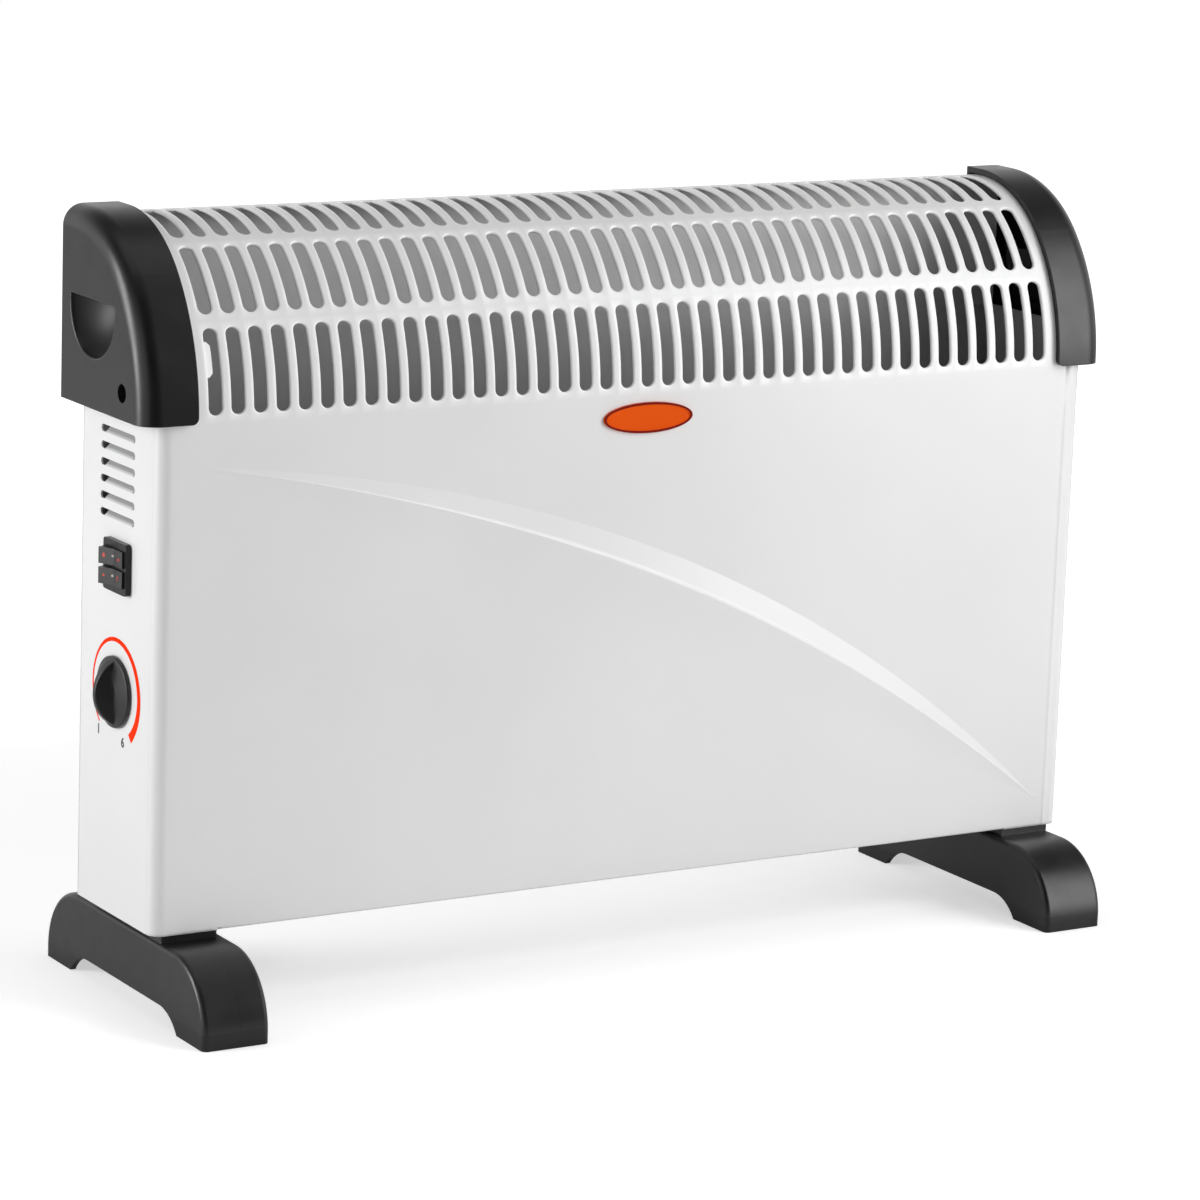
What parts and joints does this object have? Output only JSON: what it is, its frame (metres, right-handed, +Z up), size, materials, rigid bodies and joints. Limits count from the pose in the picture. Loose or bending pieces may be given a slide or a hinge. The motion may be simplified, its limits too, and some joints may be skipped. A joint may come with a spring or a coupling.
{
  "type": "convector heater",
  "caption": "Free-standing convector heater: white sheet casing with a slotted curved top, black end caps with hand grips, arched feet, rocker switches and a turning thermostat knob.",
  "frame": {"origin": "on the floor, under the middle of the whole heater", "axes": "+X along the width towards the plain end, -Y to the front, +Z up"},
  "size_m": [0.5772, 0.184, 0.4],
  "materials": {
    "white_sheet": "white powder coat, satin, very fine orange peel",
    "bare_sheet": "zinc-coated sheet",
    "black_moulding": "black moulding, satin, fine grain",
    "foot_moulding": "black moulding, satin",
    "screw_steel": "zinc-plated steel",
    "orange_badge": "glossy orange plate with a dark red rim",
    "switch_moulding": "black moulding, semi-gloss",
    "rocker_moulding": "dark grey moulding, semi-gloss",
    "knob_moulding": "black moulding, satin",
    "terminal_brass": "bright stamped brass",
    "heat_resistant_moulding": "dull heat-resistant moulding",
    "element_sheath": "heat-darkened steel sheath",
    "ceramic": "glazed off-white",
    "gland_moulding": "black moulding",
    "wire_insulation": "heat-resistant sleeving"
  },
  "bodies": {
    "casing": {"front_panel": "white_sheet", "rear_panel": "white_sheet", "left_side_panel": "white_sheet", "right_side_panel": "white_sheet", "control_partition": "white_sheet", "base_grille": "bare_sheet", "middle_element_bracket": "bare_sheet", "right_element_bracket": "bare_sheet", "left_end_cap": "black_moulding", "right_end_cap": "black_moulding", "left_foot": "foot_moulding", "right_foot": "foot_moulding", "end_cap_screws": "screw_steel", "panel_screws": "screw_steel", "foot_screws": "screw_steel", "thermostat_nut": "screw_steel", "terminal_screws": "screw_steel", "oval_badge": "orange_badge", "switch_housing": "switch_moulding", "switch_terminals": "terminal_brass", "bimetal_blade": "terminal_brass", "contact_blade": "terminal_brass", "cutout_terminals": "terminal_brass", "thermostat_body": "heat_resistant_moulding", "thermal_cutout": "heat_resistant_moulding", "terminal_block": "heat_resistant_moulding", "lower_heating_element": "element_sheath", "upper_heating_element": "element_sheath", "ceramic_bushes": "ceramic", "cord_gland": "gland_moulding", "gland_nut": "gland_moulding", "internal_wires": "wire_insulation"},
    "knob": {"thermostat_knob": "knob_moulding", "thermostat_shaft": "screw_steel"},
    "upper_rocker": {"upper_rocker": "rocker_moulding"},
    "lower_rocker": {"lower_rocker": "rocker_moulding"}
  },
  "joints": [
    {"name": "knob_turn", "type": "hinge", "parent": "casing", "child": "knob", "pos_m": [-0.277, 0.0032, 0.1609], "axis": [1, 0, 0], "range_deg": [-135, 135]},
    {"name": "upper_rocker_tilt", "type": "hinge", "parent": "casing", "child": "upper_rocker", "pos_m": [-0.276, 0.0006, 0.23035], "axis": [0, 0, -1], "range_deg": [0, 26]},
    {"name": "lower_rocker_tilt", "type": "hinge", "parent": "casing", "child": "lower_rocker", "pos_m": [-0.276, 0.0006, 0.22025], "axis": [0, 0, -1], "range_deg": [0, 26]}
  ]
}
